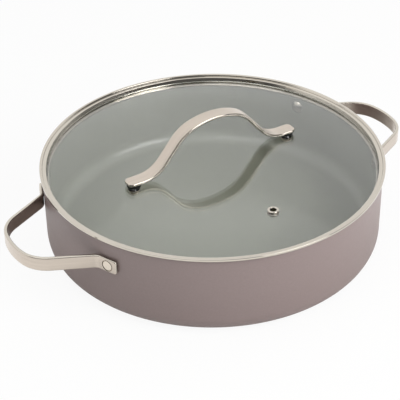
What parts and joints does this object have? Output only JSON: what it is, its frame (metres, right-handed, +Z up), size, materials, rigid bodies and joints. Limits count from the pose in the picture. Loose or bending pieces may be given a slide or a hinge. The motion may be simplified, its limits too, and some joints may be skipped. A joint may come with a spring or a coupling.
{
  "type": "cooking pot",
  "caption": "Low round cooking pot with riveted strap side handles and a lift-off glass lid with a steel rim, a bowed strap handle and a steam vent.",
  "frame": {"origin": "middle of the underside of the base, on the surface that the pot stands on", "axes": "+Z up along the pot's axis, +X out through the middle of a side handle, -Y towards the steam vent in the lid"},
  "size_m": [0.374, 0.2892, 0.1166],
  "materials": {
    "lacquered_aluminium": "satin mauve-taupe lacquer outside, pale grey-green ceramic coat inside",
    "base_steel": "turned, satin",
    "satin_steel": "brushed lengthwise, edges polished",
    "rivet_steel": "satin",
    "clear_glass": "clear tempered glass",
    "polished_steel": "polished",
    "fastener_steel": "satin",
    "black_silicone": "matte"
  },
  "bodies": {
    "pot": {"pot_body": "lacquered_aluminium", "induction_base_plate": "base_steel", "right_side_handle": "satin_steel", "left_side_handle": "satin_steel", "right_handle_rivet_1": "rivet_steel", "right_handle_rivet_2": "rivet_steel", "left_handle_rivet_1": "rivet_steel", "left_handle_rivet_2": "rivet_steel"},
    "lid": {"lid_glass": "clear_glass", "lid_rim_ring": "polished_steel", "lid_handle": "satin_steel", "right_lid_boss": "fastener_steel", "left_lid_boss": "fastener_steel", "right_lid_upper_washer": "black_silicone", "left_lid_upper_washer": "black_silicone", "right_lid_lower_washer": "black_silicone", "left_lid_lower_washer": "black_silicone", "right_lid_flat_washer": "fastener_steel", "left_lid_flat_washer": "fastener_steel", "right_lid_screw": "fastener_steel", "left_lid_screw": "fastener_steel", "steam_vent_eyelet": "polished_steel", "steam_vent_washer": "fastener_steel"}
  },
  "joints": [
    {"name": "lid_lift", "type": "slide", "parent": "pot", "child": "lid", "axis": [0, 0, 1], "range_m": [0, 0.15]}
  ]
}
